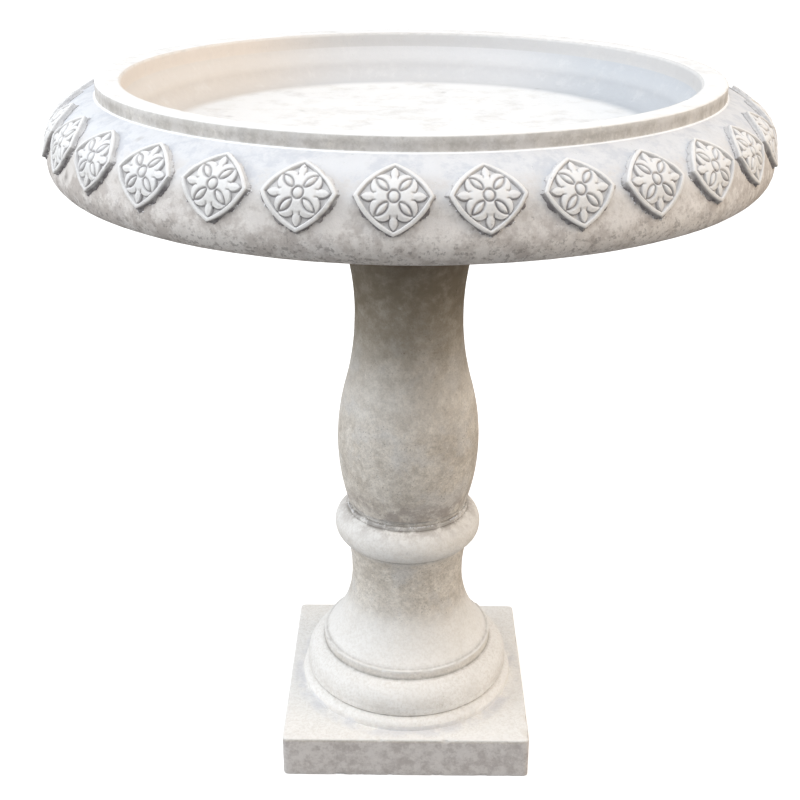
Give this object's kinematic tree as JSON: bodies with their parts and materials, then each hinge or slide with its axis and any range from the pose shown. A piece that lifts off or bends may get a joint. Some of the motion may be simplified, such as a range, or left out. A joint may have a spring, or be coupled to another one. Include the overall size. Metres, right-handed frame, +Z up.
{
  "type": "bird bath",
  "caption": "Pedestal bird bath in cast stone: square moulded base, vase-shaped column and a wide shallow lift-off bowl with rosette plaques round its rolled side.",
  "frame": {"origin": "centre of the plinth's flat underside, on the ground", "axes": "+Z up along the column's axis; -Y is the front, square to a side of the plinth"},
  "size_m": [0.6518, 0.653, 0.6873],
  "materials": {
    "pedestal_stone": "cast stone, lightly pitted, washed finish",
    "bowl_stone": "cast stone, whitish wash, fine speckle",
    "plaque_stone": "cast stone, off-white with dark wash in the grooves",
    "mortar": "rough pale bedding mortar",
    "reinforcing_steel": "plain mild steel bar, cast in",
    "dowel_steel": "galvanised round bar",
    "gasket_rubber": "matt black sheet rubber"
  },
  "bodies": {
    "pedestal": {"pedestal_base": "pedestal_stone", "plinth_hoop": "reinforcing_steel", "base_bars": "reinforcing_steel", "bedding_mortar": "mortar", "vase_column": "pedestal_stone", "column_bars": "reinforcing_steel", "column_ties": "reinforcing_steel", "locating_dowel": "dowel_steel"},
    "seat": {"seat_gasket": "gasket_rubber"},
    "basin": {"bowl": "bowl_stone", "bowl_rim_hoop": "reinforcing_steel", "bowl_floor_hoops": "reinforcing_steel", "bowl_spokes": "reinforcing_steel", "rosette_plaque_01": "plaque_stone", "rosette_plaque_02": "plaque_stone", "rosette_plaque_03": "plaque_stone", "rosette_plaque_04": "plaque_stone", "rosette_plaque_05": "plaque_stone", "rosette_plaque_06": "plaque_stone", "rosette_plaque_07": "plaque_stone", "rosette_plaque_08": "plaque_stone", "rosette_plaque_09": "plaque_stone", "rosette_plaque_10": "plaque_stone", "rosette_plaque_11": "plaque_stone", "rosette_plaque_12": "plaque_stone", "rosette_plaque_13": "plaque_stone", "rosette_plaque_14": "plaque_stone", "rosette_plaque_15": "plaque_stone", "rosette_plaque_16": "plaque_stone", "rosette_plaque_17": "plaque_stone", "rosette_plaque_18": "plaque_stone", "rosette_plaque_19": "plaque_stone", "rosette_plaque_20": "plaque_stone", "rosette_plaque_21": "plaque_stone", "rosette_plaque_22": "plaque_stone", "rosette_plaque_23": "plaque_stone", "rosette_plaque_24": "plaque_stone", "rosette_plaque_25": "plaque_stone", "rosette_plaque_26": "plaque_stone", "rosette_plaque_27": "plaque_stone", "rosette_plaque_28": "plaque_stone", "rosette_plaque_29": "plaque_stone", "rosette_plaque_30": "plaque_stone"}
  },
  "joints": [
    {"name": "bowl_turn", "type": "hinge", "parent": "pedestal", "child": "seat", "pos_m": [0, 0, 0.588], "axis": [0, 0, 1], "continuous": true},
    {"name": "bowl_lift", "type": "slide", "parent": "seat", "child": "basin", "axis": [0, 0, 1], "range_m": [0, 0.15]}
  ]
}
